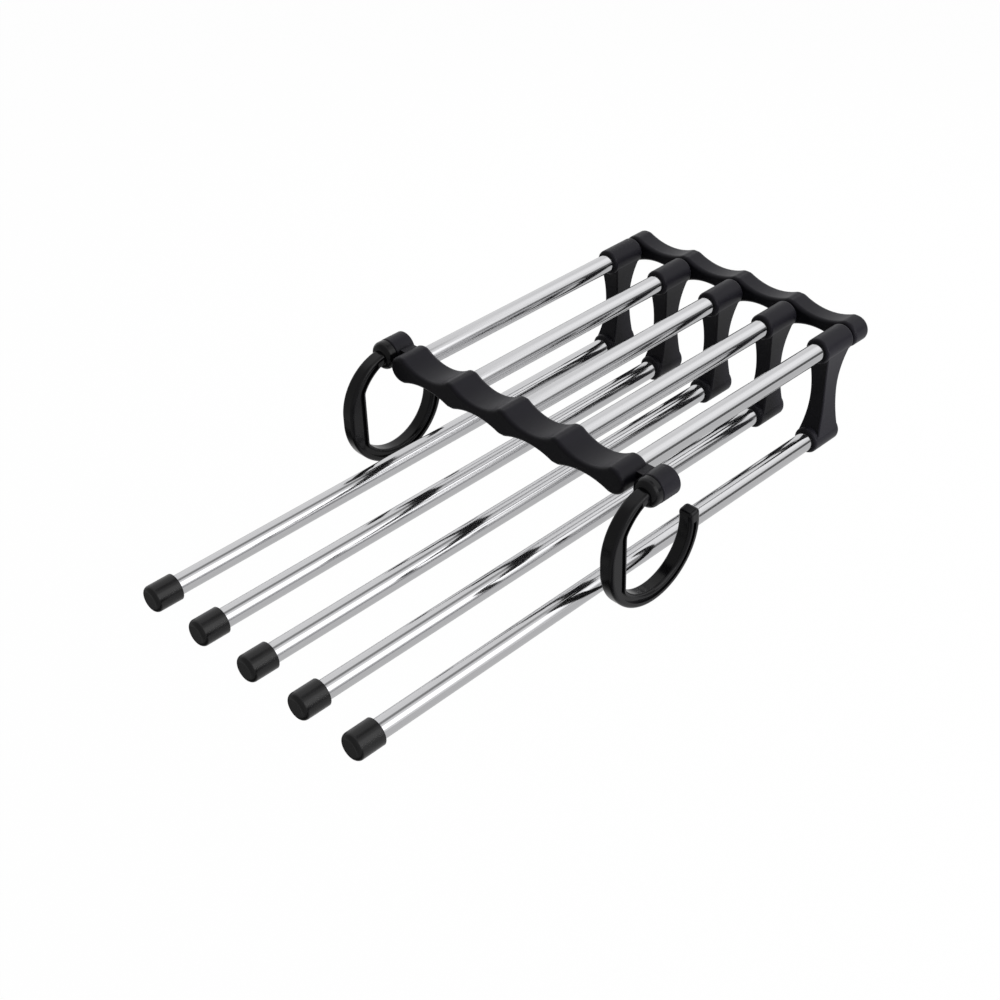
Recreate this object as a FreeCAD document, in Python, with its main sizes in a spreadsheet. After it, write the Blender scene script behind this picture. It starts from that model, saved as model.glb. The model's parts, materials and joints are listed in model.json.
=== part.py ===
import FreeCAD, Part
import math
import os
import Sketcher

# Multi-tier trouser hanger: two wavy strips joined by five steel tubes. On each tube hangs a swing arm
# that carries a long trouser rod, and a hook at each end of the front strip goes over a closet rail.
# Millimetres, +Z up, X along the strips, Y from the rods' free ends to the arms.
# The origin is on the axis of the rail, halfway between the two hooks.

TUBES = 5

SIZES = {
    # steel tubes
    "tube_diameter": 10.0,
    "tube_wall": 1.0,
    "tube_pitch": 35.4,
    # front strip, which carries the hooks
    "hook_strip_front": 8.5,     # front face ahead of the rail axis
    "hook_strip_depth": 18.5,
    "hook_strip_top_dip": 5.2,   # valley below the crests
    "hook_strip_under_dip": 3.2,
    "hook_socket_depth": 12.0,
    # rear strip
    "strip_span": 159.0,         # clear space between the two strips
    "rear_strip_depth": 12.2,
    "rear_strip_dip": 3.7,
    "rear_socket_depth": 9.0,
    # both strips
    "node_radius": 7.0,          # half height of a strip at a tube
    "crest_width": 4.0,
    "crest_round": 4.0,
    "strip_round": 2.0,
    # ends of the front strip
    "end_reach": 17.2,           # hook pivot beyond the last tube
    "boss_radius": 7.5,
    "boss_front": 0.7,           # ahead of the rail axis
    "boss_length": 12.2,
    "boss_round": 1.0,
    "end_web_height": 7.0,
    "end_web_setback": 2.4,      # behind the front of the boss
    "end_web_depth": 8.3,
    # swing arms
    "arm_drop": 52.2,            # upper tube axis to trouser rod axis
    "barrel_radius": 7.0,
    "barrel_length": 22.4,
    "barrel_gap": 0.9,           # to the rear strip
    "lower_socket_radius": 7.0,
    "lower_socket_length": 20.8,
    "lower_socket_setback": 4.7, # from the rear of the barrel
    "lower_bore_depth": 18.4,
    "waist_width": 8.8,
    "waist_depth": 11.0,
    "waist_setback": 7.2,        # from the rear of the barrel
    "web_round": 0.9,
    "arm_end_round": 1.7,        # rims of the barrel and the socket
    "running_clearance": 0.05,
    "snap_width": 1.6,           # rib in a bore
    "snap_height": 0.35,
    "snap_clearance": 0.2,
    # trouser rods and their caps
    "rod_reach": 167.2,          # free end ahead of the rail axis
    "cap_radius": 6.8,
    "cap_grip": 12.4,
    "cap_wall": 2.1,
    "cap_round": 2.5,
    # hooks
    "hook_thickness": 8.2,
    "hook_rail_radius": 24.0,
    "hook_width": 7.1,           # of the limb round the rail, across its sides
    "hook_flat_inset": 4.0,      # flat inside of the front limb, inside the round of the seat
    "hook_flat_round": 4.0,      # where the flat runs into the curves above and below it
    "hook_tip_rise": 4.0,
    "hook_tip_round": 2.2,
    "frame_rise": 7.0,           # upper tubes above the round of the seat
    "shank_centre_y": 1.5,       # centre of the inner curve, behind the rail axis
    "shank_centre_z": 5.0,
    "shank_ease": 0.7,           # inner curve wider than the seat
    "shank_outer_lead": 2.0,     # centre of the outer curve, ahead of the rail axis
    "shank_end": 4.2,            # inside the hub, ahead of the rail axis
    "hook_round": 1.9,
    "hook_land": 2.0,            # rim between the inner edge and the side channel
    "channel_width": 2.2,
    "channel_depth": 1.4,
    "channel_end": 11.0,         # ahead of the rail axis
    "hub_radius": 7.4,
    "hub_length": 5.5,
    "hub_round": 3.2,            # front rim
    "hub_gap": 0.3,              # to the boss
    "hub_wall": 1.2,
    # pivot pins of the hooks
    "pin_diameter": 6.0,
    "pin_head_radius": 5.0,
    "pin_head_height": 1.6,
    "pin_head_round": 1.0,
    "pin_head_gap": 0.1,
}

doc = FreeCAD.newDocument("TrouserHanger")
sheet = doc.addObject("Spreadsheet::Sheet", "Sizes")
for row, (alias, number) in enumerate(SIZES.items(), start=1):
    sheet.set(f"A{row}", alias.replace("_", " "))
    sheet.set(f"B{row}", str(number))
    sheet.setAlias(f"B{row}", alias)
doc.recompute()


class Size:
    """A length: its value, and the expression that ties it to the sheet."""

    def __init__(self, text, value):
        self.text = text
        self.value = value

    def __neg__(self):
        return Size(f"-({self.text})", -self.value)

    def __add__(self, other):
        other = as_size(other)
        return Size(f"({self.text} + {other.text})", self.value + other.value)

    def __sub__(self, other):
        other = as_size(other)
        return Size(f"({self.text} - {other.text})", self.value - other.value)

    def __mul__(self, other):
        other = as_size(other)
        return Size(f"({self.text} * {other.text})", self.value * other.value)

    def __truediv__(self, other):
        other = as_size(other)
        return Size(f"({self.text} / {other.text})", self.value / other.value)

    __radd__ = __add__
    __rmul__ = __mul__


def as_size(number):
    if isinstance(number, Size):
        return number
    return Size(f"({float(number)})", float(number))


def size(alias):
    return Size(f"Sizes.{alias}", float(sheet.get(alias)))


def root(square):
    return Size(f"sqrt({square.text})", math.sqrt(square.value))


def leg(long_side, short_side):
    return root(long_side * long_side - short_side * short_side)


def bind(target, property_name, length):
    target.setExpression(property_name, as_size(length).text)


# Sketches, pads and cuts

def new_body(label, x=0, z=0):
    body = doc.addObject("PartDesign::Body", label)
    body.Label = label
    bind(body, "Placement.Base.x", x)
    bind(body, "Placement.Base.z", z)
    return body


def new_sketch(body, name, role, along_normal=0, up=0):
    sketch = body.newObject("Sketcher::SketchObject", name)
    plane = [feature for feature in body.Origin.OriginFeatures if feature.Role == role][0]
    sketch.AttachmentSupport = [(plane, "")]
    sketch.MapMode = "FlatFace"
    bind(sketch, "AttachmentOffset.Base.z", along_normal)
    bind(sketch, "AttachmentOffset.Base.y", up)
    return sketch


def sketch_across(body, name, y=0):
    # upright sketch across Y: first axis X, second axis Z, normal -Y
    return new_sketch(body, name, "XZ_Plane", -as_size(y))


def sketch_along(body, name, x=0, up=0):
    # upright sketch along Y: first axis Y, second axis Z, normal +X
    return new_sketch(body, name, "YZ_Plane", x, up)


def fix_point(sketch, curve, point, place):
    for kind, length in zip(("DistanceX", "DistanceY"), place):
        length = as_size(length)
        number = sketch.addConstraint(Sketcher.Constraint(kind, -1, 1, curve, point, length.value))
        bind(sketch, f"Constraints[{number}]", length)


def add_circle(sketch, centre, radius):
    middle = FreeCAD.Vector(as_size(centre[0]).value, as_size(centre[1]).value)
    curve = sketch.addGeometry(Part.Circle(middle, FreeCAD.Vector(0, 0, 1), radius.value))
    fix_point(sketch, curve, 3, centre)
    number = sketch.addConstraint(Sketcher.Constraint("Radius", curve, radius.value))
    bind(sketch, f"Constraints[{number}]", radius)


def arc_between(start, end, radius):
    # the shorter counter-clockwise arc from start to end
    chord = end - start
    sag = radius - math.sqrt(radius ** 2 - (chord.Length / 2) ** 2)
    outward = FreeCAD.Vector(chord.y, -chord.x).normalize()
    return Part.Arc(start, (start + end) / 2 + outward * sag, end)


def add_outline(sketch, corners, arcs=()):
    # Closed outline. arcs maps an edge, by its first corner, to a radius: positive where the outline
    # turns counter-clockwise along it, negative where it turns clockwise.
    arcs = dict(arcs)
    points = [FreeCAD.Vector(as_size(x).value, as_size(y).value) for x, y in corners]
    ends = []
    for index, start in enumerate(points):
        end = points[(index + 1) % len(points)]
        radius = arcs.get(index)
        if radius is None:
            curve = sketch.addGeometry(Part.LineSegment(start, end))
            ends.append((curve, 1, 2))
        elif radius.value > 0:
            curve = sketch.addGeometry(arc_between(start, end, radius.value))
            ends.append((curve, 1, 2))
        else:
            curve = sketch.addGeometry(arc_between(end, start, -radius.value))
            ends.append((curve, 2, 1))
    for index, (curve, first, last) in enumerate(ends):
        following, following_first, _ = ends[(index + 1) % len(ends)]
        sketch.addConstraint(Sketcher.Constraint("Coincident", curve, last, following, following_first))
        fix_point(sketch, curve, first, corners[index])
        if index in arcs:
            length = arcs[index] if arcs[index].value > 0 else -arcs[index]
            number = sketch.addConstraint(Sketcher.Constraint("Radius", curve, length.value))
            bind(sketch, f"Constraints[{number}]", length)


def add_pad(body, sketch, length, reverse=False):
    pad = body.newObject("PartDesign::Pad", sketch.Name + "_pad")
    pad.Profile = sketch
    pad.Reversed = reverse
    bind(pad, "Length", length)
    return pad


def pad_back(body, sketch, length):
    # from a sketch across Y towards the rear
    return add_pad(body, sketch, length, reverse=True)


def solid_volume(body):
    doc.recompute()
    return body.Shape.Volume


def add_pocket(body, sketch, length, reverse=False):
    # a sketch across Y cuts towards the rear, one along Y towards -X
    before = solid_volume(body)
    pocket = body.newObject("PartDesign::Pocket", sketch.Name + "_pocket")
    pocket.Profile = sketch
    pocket.Reversed = reverse
    bind(pocket, "Length", length)
    if solid_volume(body) >= before:
        raise RuntimeError(f"{pocket.Name} cuts nothing")
    return pocket


def add_turned(body, sketch, kind="Revolution"):
    turned = body.newObject(f"PartDesign::{kind}", sketch.Name + "_turned")
    turned.Profile = sketch
    turned.ReferenceAxis = (sketch, ["H_Axis"])
    turned.Angle = 360
    return turned


def add_groove(body, sketch):
    before = solid_volume(body)
    groove = add_turned(body, sketch, "Groove")
    if solid_volume(body) >= before:
        raise RuntimeError(f"{groove.Name} cuts nothing")
    return groove


def add_round_bar(body, name, up, front, rear, radius, front_round, rear_round=None):
    # a round bar along Y at a height, with one or both of its rims rounded
    section = sketch_along(body, name, up=up)
    corners = [(front, 0), (front, radius - front_round), (front + front_round, radius)]
    arcs = {1: -front_round}
    if rear_round is None:
        corners += [(rear, radius)]
    else:
        arcs[len(corners)] = -rear_round
        corners += [(rear - rear_round, radius), (rear, radius - rear_round)]
    add_outline(section, corners + [(rear, 0)], arcs)
    add_turned(body, section)


def round_edges(body, name, radius, wanted):
    doc.recompute()
    base = body.Tip
    names = [f"Edge{n}" for n, edge in enumerate(base.Shape.Edges, start=1) if wanted(edge)]
    fillet = body.newObject("PartDesign::Fillet", name)
    fillet.Base = (base, names)
    bind(fillet, "Radius", radius)
    return fillet


def near(a, b):
    return abs(a - b) < 1e-4


def lies_at(edge, axis, place):
    return all(near(vertex.Point[axis], place) for vertex in edge.Vertexes)


# Places that several pieces share

tube_radius = size("tube_diameter") / 2
tube_bore = tube_radius - size("tube_wall")
frame_height = size("hook_rail_radius") + size("frame_rise")
hook_strip_front = -size("hook_strip_front")
hook_strip_rear = hook_strip_front + size("hook_strip_depth")
tube_front = hook_strip_rear - size("hook_socket_depth")
rear_strip_front = hook_strip_rear + size("strip_span")
tube_rear = rear_strip_front + size("rear_socket_depth")
barrel_rear = rear_strip_front - size("barrel_gap")
barrel_front = barrel_rear - size("barrel_length")
barrel_middle = (barrel_front + barrel_rear) / 2
socket_rear = barrel_rear - size("lower_socket_setback")
socket_front = socket_rear - size("lower_socket_length")
rod_rear = socket_front + size("lower_bore_depth")
rod_front = -size("rod_reach")
boss_front = -size("boss_front")
boss_rear = boss_front + size("boss_length")
hub_rear = boss_front - size("hub_gap")
hub_front = hub_rear - size("hub_length")
pin_front = hub_front + size("hub_wall")
pin_radius = size("pin_diameter") / 2
pin_bore = pin_radius + size("running_clearance")
pin_snap_middle = (pin_front + hub_rear) / 2
hook_pivot = size("tube_pitch") * ((TUBES - 1) / 2) + size("end_reach")
snap_half = size("snap_width") / 2
snap_groove_half = snap_half + size("snap_clearance")
snap_groove_depth = size("snap_height") + size("snap_clearance") - size("running_clearance")


def tube_place(number):
    return size("tube_pitch") * (number - (TUBES + 1) / 2)


def ring_with_snap_groove(front, rear, outer, inner, middle):
    # half section of a bar or tube with a shallow groove round it
    floor = outer - snap_groove_depth
    start = middle - snap_groove_half
    end = middle + snap_groove_half
    outline = [(front, inner), (front, outer), (start, outer), (start, floor)]
    return outline + [(end, floor), (end, outer), (rear, outer), (rear, inner)]


def bore_with_snap_rib(front, rear, radius, middle):
    # half section of a bore with a low rib round it
    top = radius - size("snap_height")
    start = middle - snap_half
    end = middle + snap_half
    outline = [(front, 0), (front, radius), (start, radius), (start, top)]
    return outline + [(end, top), (end, radius), (rear, radius), (rear, 0)]


# Strips: a bar with rounded ends, scooped out above and below between every two tubes

def scoop_radius(dip):
    half_chord = (size("tube_pitch") - size("crest_width")) / 2
    return (half_chord * half_chord + dip * dip) / (2 * dip)


def build_strip(label, front, depth, top_dip, under_dip):
    body = new_body(label, 0, frame_height)
    half_height = size("node_radius")
    end = tube_place(TUBES)
    bar = sketch_across(body, label + "_bar", front)
    corners = [(-end, -half_height), (end, -half_height), (end + half_height, 0)]
    corners += [(end, half_height), (-end, half_height), (-end - half_height, 0)]
    add_outline(bar, corners, {number: half_height for number in (1, 2, 4, 5)})
    pad_back(body, bar, depth)

    scoops = sketch_across(body, label + "_scoops", front)
    for number in range(1, TUBES):
        middle = tube_place(number + 0.5)
        top = scoop_radius(top_dip)
        under = scoop_radius(under_dip)
        add_circle(scoops, (middle, half_height - top_dip + top), top)
        add_circle(scoops, (middle, -half_height + under_dip - under), under)
    add_pocket(body, scoops, depth)

    def crest_edge(edge):
        x, y, z = edge.CenterOfMass
        along = near(edge.Length, depth.value) and near(y, front.value + depth.value / 2)
        return along and near(abs(z), half_height.value) and not near(abs(x), end.value)

    def face_edge(edge):
        return lies_at(edge, 1, front.value) or lies_at(edge, 1, front.value + depth.value)

    round_edges(body, label + "_crests", size("crest_round"), crest_edge)
    round_edges(body, label + "_faces", size("strip_round"), face_edge)
    return body


def cut_tube_sockets(body, from_y, depth):
    sockets = sketch_across(body, body.Label + "_sockets", from_y)
    for number in range(1, TUBES + 1):
        add_circle(sockets, (tube_place(number), 0), tube_radius)
    add_pocket(body, sockets, depth)


def build_hook_strip():
    body = build_strip("hook_strip", hook_strip_front, size("hook_strip_depth"),
                       size("hook_strip_top_dip"), size("hook_strip_under_dip"))
    half_web = size("end_web_height") / 2
    webs = sketch_across(body, "end_webs", boss_front + size("end_web_setback"))
    last_tube = tube_place(TUBES)
    for side in (-1, 1):
        start, end = last_tube * side, hook_pivot * side
        add_outline(webs, [(start, -half_web), (end, -half_web), (end, half_web), (start, half_web)])
    pad_back(body, webs, size("end_web_depth"))

    bosses = sketch_across(body, "hook_bosses", boss_front)
    for side in (-1, 1):
        add_circle(bosses, (hook_pivot * side, 0), size("boss_radius"))
    pad_back(body, bosses, size("boss_length"))

    def boss_rim(edge):
        at_end = lies_at(edge, 1, boss_front.value) or lies_at(edge, 1, boss_rear.value)
        return at_end and abs(edge.CenterOfMass.x) > last_tube.value + size("node_radius").value

    round_edges(body, "boss_rims", size("boss_round"), boss_rim)
    cut_tube_sockets(body, tube_front, size("hook_socket_depth"))
    bores = sketch_across(body, "pin_bores", boss_front)
    for side in (-1, 1):
        add_circle(bores, (hook_pivot * side, 0), pin_bore)
    add_pocket(body, bores, size("boss_length"))
    return body


def build_rear_strip():
    body = build_strip("rear_strip", rear_strip_front, size("rear_strip_depth"),
                       size("rear_strip_dip"), size("rear_strip_dip"))
    cut_tube_sockets(body, rear_strip_front, size("rear_socket_depth"))
    return body


# Upper tubes: pressed into both strips, each with a rolled groove that keeps its arm in place

def build_upper_tube(number):
    body = new_body(f"upper_tube_{number}", tube_place(number), frame_height)
    section = sketch_along(body, f"upper_tube_section_{number}")
    add_outline(section, ring_with_snap_groove(tube_front, tube_rear, tube_radius, tube_bore, barrel_middle))
    add_turned(body, section)
    return body


# Swing arms: a barrel on the upper tube, a waisted web, and a blind socket for the trouser rod

def build_swing_arm(number):
    body = new_body(f"swing_arm_{number}", tube_place(number), frame_height)
    drop = size("arm_drop")
    middle = -drop / 2
    waist_rear = barrel_rear - size("waist_setback")
    waist_front = waist_rear - size("waist_depth")
    half_waist = size("waist_width") / 2
    half_web = size("lower_socket_radius")

    def waist_arc(half_drop, sag):
        return (half_drop * half_drop + sag * sag) / (2 * sag)

    # seen from the side, the web runs from the barrel to the socket and is narrowest halfway
    side = sketch_along(body, f"arm_side_{number}", -half_web)
    top_front, low_front = barrel_front + size("web_round"), socket_front + size("web_round")
    top_rear, low_rear = barrel_rear - size("web_round"), socket_rear - size("web_round")
    corners = [(top_front, 0), (waist_front, middle), (low_front, -drop)]
    corners += [(low_rear, -drop), (waist_rear, middle), (top_rear, 0)]
    arcs = {
        0: -waist_arc(drop / 2, waist_front - top_front),
        1: -waist_arc(drop / 2, waist_front - low_front),
        3: -waist_arc(drop / 2, low_rear - waist_rear),
        4: -waist_arc(drop / 2, top_rear - waist_rear),
    }
    add_outline(side, corners, arcs)
    add_pad(body, side, half_web * 2)

    # seen from the front, both sides are drawn in to the waist
    flanks = sketch_across(body, f"arm_flanks_{number}", socket_front)
    sag = half_web - half_waist
    flank = waist_arc(drop / 2, sag)
    for mirror in (-1, 1):
        add_circle(flanks, ((half_waist + flank) * mirror, middle), flank)
    add_pocket(body, flanks, size("lower_socket_length") + size("lower_socket_setback"))

    def web_edge(edge):
        x, y, z = edge.CenterOfMass
        steep = edge.BoundBox.ZLength > drop.value / 4
        return steep and abs(x) > half_waist.value - 1e-3

    round_edges(body, f"arm_web_{number}", size("web_round"), web_edge)

    rim = size("arm_end_round")
    barrel = size("barrel_radius")
    add_round_bar(body, f"arm_barrel_{number}", as_size(0), barrel_front, barrel_rear, barrel, rim, rim)
    add_round_bar(body, f"arm_socket_{number}", -drop, socket_front, socket_rear, half_web, rim, rim)

    rod_bore = sketch_across(body, f"arm_rod_bore_{number}", socket_front)
    add_circle(rod_bore, (0, -drop), tube_radius)
    add_pocket(body, rod_bore, size("lower_bore_depth"))
    bore = sketch_along(body, f"arm_bore_{number}")
    running_radius = tube_radius + size("running_clearance")
    add_outline(bore, bore_with_snap_rib(barrel_front, barrel_rear, running_radius, barrel_middle))
    add_groove(body, bore)
    return body


# Trouser rods, pressed into the arms, and the rubber caps on their free ends

def build_trouser_rod(number):
    body = new_body(f"trouser_rod_{number}", tube_place(number), frame_height - size("arm_drop"))
    section = sketch_along(body, f"trouser_rod_section_{number}")
    corners = [(rod_front, tube_bore), (rod_front, tube_radius)]
    corners += [(rod_rear, tube_radius), (rod_rear, tube_bore)]
    add_outline(section, corners)
    add_turned(body, section)
    return body


def build_end_cap(number):
    body = new_body(f"end_cap_{number}", tube_place(number), frame_height - size("arm_drop"))
    section = sketch_along(body, f"end_cap_section_{number}")
    front = rod_front - size("cap_wall")
    rear = rod_front + size("cap_grip")
    outer = size("cap_radius")
    rounding = size("cap_round")
    corners = [(front, 0), (front, outer - rounding), (front + rounding, outer)]
    corners += [(rear, outer), (rear, tube_radius), (rod_front, tube_radius), (rod_front, 0)]
    add_outline(section, corners, {1: -rounding})
    add_turned(body, section)
    return body


# Hooks: a curved limb round the rail, thick in front, with a channel along both sides and a hub on top

shank_inner = size("hook_rail_radius") + size("shank_ease")


def shank_height(radius, centre, ahead):
    return size("shank_centre_z") + leg(radius, ahead + centre)


def inner_edge(offset):
    # The inner edge of the limb, or a line at an offset outside it, from the rear of the rail seat down,
    # forward, up the flat and along the shank: its corners, and its arcs by their first corner.
    seat = size("hook_rail_radius") + offset
    shank = shank_inner + offset
    flat = size("hook_rail_radius") - size("hook_flat_inset") + offset
    rounding = size("hook_flat_round") + offset
    seat_across = flat - rounding
    seat_down = leg(seat - rounding, seat_across)
    seat_grow = seat / (seat - rounding)
    shank_across = flat - rounding + size("shank_centre_y")
    shank_up = leg(shank - rounding, shank_across)
    shank_grow = shank / (shank - rounding)
    corners = [
        (0, -seat),
        (-seat_across * seat_grow, -seat_down * seat_grow),
        (-flat, -seat_down),
        (-flat, size("shank_centre_z") + shank_up),
        (size("shank_centre_y") - shank_across * shank_grow, size("shank_centre_z") + shank_up * shank_grow),
    ]
    return corners, {0: -seat, 1: -rounding, 3: -rounding, 4: -shank}


def build_hook(label, pivot):
    body = new_body(label, pivot)
    inner = size("hook_rail_radius")
    outer = inner + size("hook_width")
    half = size("hook_thickness") / 2
    shank_end = size("shank_end")
    shank_centre = size("shank_centre_y")
    shank_lead = size("shank_outer_lead")
    shank_outer = outer - shank_lead
    tip_round = size("hook_tip_round")
    tip_sine = size("hook_tip_rise") / ((outer + inner) / 2)
    tip_cosine = root(as_size(1) - tip_sine * tip_sine)

    def tip_point(radius, beyond):
        return radius * tip_cosine - beyond * tip_sine, radius * tip_sine + beyond * tip_cosine

    limb = sketch_along(body, label + "_limb", -half)
    inner_corners, inner_arcs = inner_edge(as_size(0))
    corners = [tip_point(inner, 0)] + inner_corners
    corners += [
        (-shank_end, shank_height(shank_inner, shank_centre, shank_end)),
        (-shank_end, shank_height(shank_outer, -shank_lead, shank_end)),
        (-outer, size("shank_centre_z")),
        (-outer, 0),
        (0, -outer),
        tip_point(outer, 0),
        tip_point(outer - tip_round, tip_round),
        tip_point(inner + tip_round, tip_round),
    ]
    arcs = {number + 1: radius for number, radius in inner_arcs.items()}
    arcs.update({0: -inner, 7: shank_outer, 9: outer, 10: outer, 11: tip_round, 13: tip_round})
    add_outline(limb, corners, arcs)
    add_pad(body, limb, half * 2)

    def side_edge(edge):
        on_side = lies_at(edge, 0, half.value) or lies_at(edge, 0, -half.value)
        return on_side and not lies_at(edge, 1, -shank_end.value)

    round_edges(body, label + "_rims", size("hook_round"), side_edge)

    near_edge = size("hook_land")
    far_edge = near_edge + size("channel_width")
    end = size("channel_end")
    near_corners, near_arcs = inner_edge(near_edge)
    far_corners, far_arcs = inner_edge(far_edge)
    channel_corners = [(inner + near_edge, 0)] + near_corners
    channel_corners += [
        (-end, shank_height(shank_inner + near_edge, shank_centre, end)),
        (-end, shank_height(shank_inner + far_edge, shank_centre, end)),
    ]
    channel_corners += far_corners[::-1] + [(inner + far_edge, 0)]
    channel_arcs = {number + 1: radius for number, radius in near_arcs.items()}
    channel_arcs[0] = -inner - near_edge
    last = len(channel_corners) - 2
    channel_arcs.update({last - 1 - number: -radius for number, radius in far_arcs.items()})
    channel_arcs[last] = inner + far_edge
    for side, reverse in ((1, False), (-1, True)):
        name = f"{label}_channel_{'right' if side > 0 else 'left'}"
        channel = sketch_along(body, name, half * side)
        add_outline(channel, channel_corners, channel_arcs)
        add_pocket(body, channel, size("channel_depth"), reverse)

    hub, rim = size("hub_radius"), size("hub_round")
    add_round_bar(body, label + "_hub", frame_height, hub_front, hub_rear, hub, rim)
    bore = sketch_along(body, label + "_bore", up=frame_height)
    bore_front = pin_front - size("running_clearance")
    add_outline(bore, bore_with_snap_rib(bore_front, hub_rear, pin_bore, pin_snap_middle))
    add_groove(body, bore)
    return body


# Pivot pins: headed behind the boss, snapped into the hub of the hook

def build_hook_pin(label, pivot):
    body = new_body(label, pivot, frame_height)
    section = sketch_along(body, label + "_section")
    head_front = boss_rear + size("pin_head_gap")
    head_rear = head_front + size("pin_head_height")
    head = size("pin_head_radius")
    rounding = size("pin_head_round")
    shank = ring_with_snap_groove(pin_front, head_front, pin_radius, as_size(0), pin_snap_middle)
    corners = shank[:-1] + [(head_front, head), (head_rear - rounding, head), (head_rear, head - rounding)]
    corners += [(head_rear, 0)]
    add_outline(section, corners, {len(shank): -rounding})
    add_turned(body, section)
    return body


pieces = [build_hook_strip(), build_rear_strip()]
for tube in range(1, TUBES + 1):
    pieces.append(build_upper_tube(tube))
    pieces.append(build_swing_arm(tube))
    pieces.append(build_trouser_rod(tube))
    pieces.append(build_end_cap(tube))
for side_name, place in (("left", -hook_pivot), ("right", hook_pivot)):
    pieces.append(build_hook(f"hook_{side_name}", place))
    pieces.append(build_hook_pin(f"hook_pin_{side_name}", place))

doc.recompute()
faults = [thing.Name for thing in doc.Objects if "Invalid" in thing.State or "Error" in thing.State]
for piece in pieces:
    if piece.Shape.isNull() or not piece.Shape.isValid() or len(piece.Shape.Solids) != 1:
        faults.append(piece.Label)
if faults:
    raise RuntimeError("failed: " + ", ".join(faults))

os.makedirs("parts", exist_ok=True)
for piece in pieces:
    piece.Shape.exportStep(f"parts/{piece.Label}.step")
    box = piece.Shape.BoundBox
    print(f"{piece.Label}: {piece.Shape.Volume:.1f} mm3, X {box.XMin:.1f} to {box.XMax:.1f}, "
          f"Y {box.YMin:.1f} to {box.YMax:.1f}, Z {box.ZMin:.1f} to {box.ZMax:.1f}")
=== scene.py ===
import bpy
import json
import math
from mathutils import Matrix, Vector


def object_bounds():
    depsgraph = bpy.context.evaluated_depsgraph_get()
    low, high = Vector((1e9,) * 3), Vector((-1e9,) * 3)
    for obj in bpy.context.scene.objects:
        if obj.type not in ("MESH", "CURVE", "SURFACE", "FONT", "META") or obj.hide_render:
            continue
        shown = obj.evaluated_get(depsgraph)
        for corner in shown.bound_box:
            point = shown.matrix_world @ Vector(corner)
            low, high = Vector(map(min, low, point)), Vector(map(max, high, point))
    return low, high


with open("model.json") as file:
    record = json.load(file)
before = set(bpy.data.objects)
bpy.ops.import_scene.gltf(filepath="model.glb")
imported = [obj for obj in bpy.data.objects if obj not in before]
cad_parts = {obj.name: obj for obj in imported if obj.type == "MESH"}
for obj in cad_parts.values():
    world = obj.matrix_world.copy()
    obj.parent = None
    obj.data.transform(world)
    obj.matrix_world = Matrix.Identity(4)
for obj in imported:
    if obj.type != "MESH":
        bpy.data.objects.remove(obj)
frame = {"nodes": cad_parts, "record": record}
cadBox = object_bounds()
nodes = frame["nodes"]
print("frame loaded:", len(nodes), "nodes")


# shader maths in plain Python: a wire is a socket that can be added, multiplied and so on
class Wire:
    def __init__(self, tree, socket=None):
        self.tree = tree
        self.socket = socket

    def node(self, kind, settings=None, values=None, out=0):
        made = self.tree.nodes.new(kind)
        for name, value in (settings or {}).items():
            setattr(made, name, value)
        for name, value in (values or {}).items():
            if isinstance(value, Wire):
                self.tree.links.new(value.socket, made.inputs[name])
            else:
                made.inputs[name].default_value = value
        return Wire(self.tree, made.outputs[out] if made.outputs else None)

    def maths(self, operation, first, second=0.0):
        return self.node("ShaderNodeMath", {"operation": operation}, {0: first, 1: second})

    def __add__(self, other):
        return self.maths("ADD", self, other)

    def __radd__(self, other):
        return self.maths("ADD", other, self)

    def __sub__(self, other):
        return self.maths("SUBTRACT", self, other)

    def __rsub__(self, other):
        return self.maths("SUBTRACT", other, self)

    def __mul__(self, other):
        return self.maths("MULTIPLY", self, other)

    def __rmul__(self, other):
        return self.maths("MULTIPLY", other, self)

    def __abs__(self):
        return self.maths("ABSOLUTE", self)


def newMaterial(name):
    material = bpy.data.materials.new(name)
    material.use_nodes = True
    material.node_tree.nodes.clear()
    return material, Wire(material.node_tree)


def finishMaterial(wire, shader):
    wire.node("ShaderNodeOutputMaterial", values={"Surface": shader})


def placeOn(wire, stretch=(1.0, 1.0, 1.0)):
    place = wire.node("ShaderNodeTexCoord", out="Object")
    return wire.node("ShaderNodeMapping", values={"Vector": place, "Scale": stretch})


def axesOf(wire, place):
    first = wire.node("ShaderNodeSeparateXYZ", values={0: place})
    return [Wire(wire.tree, socket) for socket in first.socket.node.outputs]


def noise(wire, place, detail, scale=1.0):
    return wire.node("ShaderNodeTexNoise", values={"Vector": place, "Scale": scale, "Detail": detail})


# a value that drifts with a mask, half of the spread to each side
def varied(middle, mask, spread):
    return middle + (mask - 0.5) * spread


def blendColour(wire, mask, first, second):     # 6 and 7 are the colours of a Mix node, 2 is the colour out
    return wire.node("ShaderNodeMix", {"data_type": "RGBA"}, {0: mask, 6: first, 7: second}, 2)


def smoothStep(wire, value, start, end, low, high):
    return wire.node("ShaderNodeMapRange", {"interpolation_type": "SMOOTHSTEP"},
                     {0: value, 1: start, 2: end, 3: low, 4: high})


def grey(level, blue=0.0):
    return (level, level, level + blue, 1.0)


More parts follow.
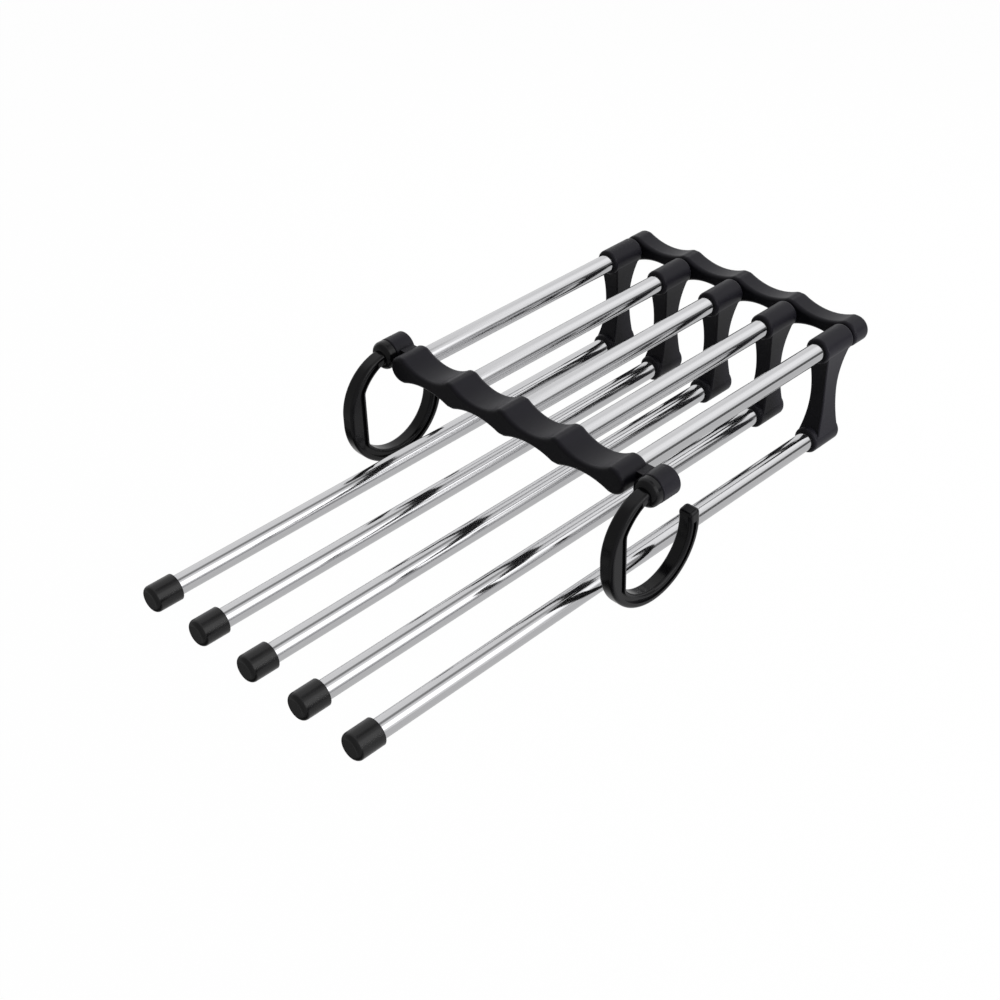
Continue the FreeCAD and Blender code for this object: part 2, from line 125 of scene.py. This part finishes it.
# grain depths are in metres, and noise scales in waves to the metre
satinPlastic = {
    "dark": (0.0074, 0.0070, 0.0094, 1.0), "light": (0.0108, 0.0103, 0.0136, 1.0),
    "specular": 0.15, "roughness": 0.36, "roughnessSpread": 0.12,
    "cloudScale": 70.0, "grainScale": 2600.0, "grainDepth": 0.000010,
}
glossPlastic = {
    "dark": (0.0030, 0.0029, 0.0034, 1.0), "light": (0.0045, 0.0044, 0.0051, 1.0),
    "specular": 0.24, "roughness": 0.18, "roughnessSpread": 0.08,
    "cloudScale": 140.0, "grainScale": 900.0, "grainDepth": 0.000006,
}
capRubber = {
    "dark": (0.0036, 0.0035, 0.0038, 1.0), "light": (0.0056, 0.0055, 0.0059, 1.0),
    "specular": 0.34, "roughness": 0.24, "roughnessSpread": 0.14,
    "cloudScale": 220.0, "grainScale": 1500.0, "grainDepth": 0.000016,
}
mouldDetail = {"cloud": 4.0, "grain": 1.0}


# the three black mouldings share one recipe
def mouldedBlack(name, look):
    material, wire = newMaterial(name)
    place = placeOn(wire)
    cloud = noise(wire, place, mouldDetail["cloud"], look["cloudScale"])
    grain = noise(wire, place, mouldDetail["grain"], look["grainScale"])
    shader = wire.node("ShaderNodeBsdfPrincipled", values={
        "Base Color": blendColour(wire, cloud, look["dark"], look["light"]),
        "Specular IOR Level": look["specular"],
        "Roughness": varied(look["roughness"], cloud, look["roughnessSpread"]),
        "Normal": wire.node("ShaderNodeBump", values={"Height": grain, "Distance": look["grainDepth"]}),
    })
    finishMaterial(wire, shader)
    return material


tubeSteel = {
    "dark": grey(0.61, 0.012), "light": grey(0.67, 0.014),
    "roughness": 0.12, "roughnessSpread": 0.04,
    "drawStretch": (700.0, 1.2, 700.0),     # drawing marks run along the tube
    "drawDetail": 1.5, "drawDepth": 0.0000003,
}


def polishedSteel():
    material, wire = newMaterial("polishedSteel")
    drawn = noise(wire, placeOn(wire, tubeSteel["drawStretch"]), tubeSteel["drawDetail"])
    shader = wire.node("ShaderNodeBsdfPrincipled", values={
        "Base Color": blendColour(wire, drawn, tubeSteel["dark"], tubeSteel["light"]),
        "Metallic": 1.0,
        "Roughness": varied(tubeSteel["roughness"], drawn, tubeSteel["roughnessSpread"]),
        "Normal": wire.node("ShaderNodeBump", values={"Height": drawn, "Distance": tubeSteel["drawDepth"]}),
    })
    finishMaterial(wire, shader)
    return material


turnedSteel = {
    "dark": grey(0.42), "light": grey(0.55),
    "roughness": 0.28, "roughnessSpread": 0.15,
    "markStretch": (1.0, 0.05, 1.0), "markScale": 800.0, "markDetail": 3.0,
}


def pinSteel():
    material, wire = newMaterial("pinSteel")
    marks = noise(wire, placeOn(wire, turnedSteel["markStretch"]), turnedSteel["markDetail"],
                  turnedSteel["markScale"])
    shader = wire.node("ShaderNodeBsdfPrincipled", values={
        "Base Color": blendColour(wire, marks, turnedSteel["dark"], turnedSteel["light"]),
        "Metallic": 1.0,
        "Roughness": varied(turnedSteel["roughness"], marks, turnedSteel["roughnessSpread"]),
    })
    finishMaterial(wire, shader)
    return material


# one finish for each material slot of the record
finishes = {
    "satin_black_plastic": mouldedBlack("satinBlackPlastic", satinPlastic),
    "gloss_black_plastic": mouldedBlack("glossBlackPlastic", glossPlastic),
    "polished_steel": polishedSteel(),
    "black_rubber": mouldedBlack("blackRubber", capRubber),
    "pin_steel": pinSteel(),
}
print("finishes made:", len(finishes))

for part in frame["record"]["subparts"]:
    piece = nodes[part["node"]]
    piece.data.materials.clear()
    piece.data.materials.append(finishes[part["material_slot"]])
print("frame dressed")


studio = {
    "floorDrop": 0.45,              # floor below the lowest point of the rack, metres
    "floorSize": 12.0,
    "floorColour": grey(0.60),
    "floorGlow": 0.985,             # share of the floor that glows for the camera and in the steel
    "floorShine": 0.66,             # how bright the floor is in the steel, towards the rear
    "floorShade": 0.03,             # and towards the front, where the light falls off
    "floorFall": (-0.26, 0.06),     # from shade to shine, metres along the tubes
    "nearShine": 0.36,              # added again further in front
    "nearFall": (-0.38, -0.56),
    "sky": 0.90,
    "skyFill": 0.14,                # share of the sky that lights matt surfaces
}

# cards in the sky, each given as centre, half width and soft edge: turn in degrees round the tubes,
# 0 to the right and 90 up, then along the tubes, from -1 in front to 1 behind
cards = {
    "softBox": {"level": 1.95, "turn": (34.0, 15.0, 10.0), "along": (-0.2, 0.74, 0.08)},
    "ceilingGap": {"level": 0.28, "turn": (88.0, 5.0, 14.0), "along": (0.40, 0.13, 0.08)},
    "paleCeiling": {"level": 1.20, "turn": (78.0, 10.0, 30.0), "along": (0.85, 0.22, 0.08)},
    "sideGap": {"level": 0.10, "turn": (14.0, 7.0, 13.0), "along": (0.80, 0.18, 0.10)},
    "dimFront": {"level": 0.42, "turn": (90.0, 400.0, 1.0), "along": (-0.85, 0.5, 0.3)},    # all round
}


def window(wire, value, centre, half, soft):
    return smoothStep(wire, abs(value - centre), half + soft, half, 0.0, 1.0)


# 1 for the kinds of ray that are named, 0 for the others
def rayIs(wire, *kinds):
    total = sum(wire.node("ShaderNodeLightPath", out=kind) for kind in kinds)
    return wire.maths("MINIMUM", total, 1.0)


def buildSky():
    world = bpy.data.worlds.new("studio")
    bpy.context.scene.world = world
    world.use_nodes = True
    world.node_tree.nodes.clear()
    wire = Wire(world.node_tree)
    x, y, z = axesOf(wire, wire.node("ShaderNodeTexCoord", out="Generated"))
    turn = wire.maths("ARCTAN2", z, x) * math.degrees(1.0)
    level = studio["sky"]
    for card in cards.values():
        mask = window(wire, turn, *card["turn"]) * window(wire, y, *card["along"])
        level = mask * (card["level"] - level) + level
    level = level * (1.0 - rayIs(wire, "Is Diffuse Ray") * (1.0 - studio["skyFill"]))
    level = level + rayIs(wire, "Is Camera Ray") * (1.0 - level)      # plain white to the camera
    light = wire.node("ShaderNodeBackground", values={"Color": grey(1.0), "Strength": level})
    wire.node("ShaderNodeOutputWorld", values={"Surface": light})


def buildFloor():
    bpy.ops.object.select_all(action="DESELECT")
    height = cadBox[0][2] - studio["floorDrop"]
    bpy.ops.mesh.primitive_plane_add(size=studio["floorSize"], location=(0, 0, height))
    floor = bpy.context.object
    floor.name = "floor"
    bpy.ops.object.transform_apply(location=True, rotation=True, scale=True)
    material, wire = newMaterial("paleFloor")
    depth = axesOf(wire, placeOn(wire))[1]
    # painted light: for reflected rays the floor glows brighter towards the rear, with painted shade in
    # front where the light falls off and a painted lighter band further in front
    shine = smoothStep(wire, depth, *studio["floorFall"], studio["floorShade"], studio["floorShine"])
    shine = shine + smoothStep(wire, depth, *studio["nearFall"], 0.0, studio["nearShine"])
    camera = rayIs(wire, "Is Camera Ray")
    seen = rayIs(wire, "Is Camera Ray", "Is Glossy Ray", "Is Transmission Ray")
    matt = wire.node("ShaderNodeBsdfDiffuse", values={"Color": studio["floorColour"]})
    glow = wire.node("ShaderNodeEmission", values={
        "Color": grey(1.0), "Strength": shine + camera * (1.0 - shine)})
    shader = wire.node("ShaderNodeMixShader", values={0: seen * studio["floorGlow"], 1: matt, 2: glow})
    finishMaterial(wire, shader)
    floor.data.materials.append(material)


# every lamp faces the origin, between the hooks
lamps = {
    "overhead": {"at": (-0.30, 0.45, 1.30), "size": 1.0, "power": 7.0},
    "right": {"at": (1.50, 0.40, 0.30), "size": 0.8, "power": 38.0},
    "rear": {"at": (-0.90, 1.30, 0.60), "size": 0.8, "power": 24.0},
}


def buildLamps():
    for name, lamp in lamps.items():
        data = bpy.data.lights.new(name, "AREA")
        data.size = lamp["size"]
        data.energy = lamp["power"]
        holder = bpy.data.objects.new(name, data)
        bpy.context.scene.collection.objects.link(holder)
        holder.location = lamp["at"]
        holder.rotation_euler = Vector(lamp["at"]).to_track_quat("Z", "Y").to_euler()
        holder.visible_camera = False
        holder.visible_glossy = False       # the steel shows the cards instead


view = {
    "at": (0.4785, -0.4703, 0.4655),        # metres, in the frame of the rack
    "azimuth": 46.109, "elevation": 35.774, "roll": 1.892,
    "lens": 60.145, "sensor": 36.0,
    "clipStart": 0.01,
}


def buildCamera():
    azimuth, elevation, roll = (math.radians(view[key]) for key in ("azimuth", "elevation", "roll"))
    back = Vector((math.sin(azimuth) * math.cos(elevation),
                   -math.cos(azimuth) * math.cos(elevation),
                   math.sin(elevation)))
    right = Vector((math.cos(azimuth), math.sin(azimuth), 0.0))
    down = right.cross(back)
    sideways = right * math.cos(roll) + down * math.sin(roll)
    upward = right * math.sin(roll) - down * math.cos(roll)
    data = bpy.data.cameras.new("camera")
    data.sensor_width = view["sensor"]
    data.lens = view["lens"]
    data.clip_start = view["clipStart"]
    holder = bpy.data.objects.new("camera", data)
    bpy.context.scene.collection.objects.link(holder)
    turned = Matrix((sideways, upward, back)).transposed().to_4x4()
    holder.matrix_world = Matrix.Translation(view["at"]) @ turned
    bpy.context.scene.camera = holder


buildSky()
buildFloor()
buildLamps()
buildCamera()
bpy.context.scene.view_settings.view_transform = "Standard"
print("studio built")
